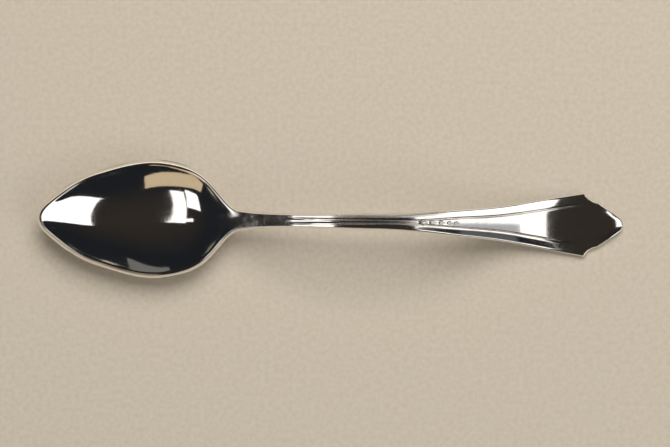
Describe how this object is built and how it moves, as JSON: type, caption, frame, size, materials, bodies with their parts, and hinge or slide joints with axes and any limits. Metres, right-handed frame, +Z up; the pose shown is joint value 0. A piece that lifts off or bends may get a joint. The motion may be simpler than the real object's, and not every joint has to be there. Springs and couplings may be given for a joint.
{
  "type": "teaspoon",
  "caption": "Teaspoon with a pointed egg-shaped bowl, a slim arched stem and a flared handle with raised threads, a sunk panel, a small husk chain and a cusped end",
  "frame": {"origin": "on the table, under the middle of the spoon's length and width", "axes": "+X from the bowl tip to the handle end, +Y across the spoon, +Z up from the table out of the bowl"},
  "size_m": [0.14, 0.0282, 0.016],
  "materials": {
    "polished_silver": "polished, with fine scratches from use",
    "silver_solder": "dressed flush and satin",
    "darkened_silver": "satin, darkened in the hollows"
  },
  "bodies": {
    "root": {"bowl": "polished_silver", "handle": "polished_silver", "neck_solder": "silver_solder", "husk_ornament": "darkened_silver"}
  },
  "joints": []
}
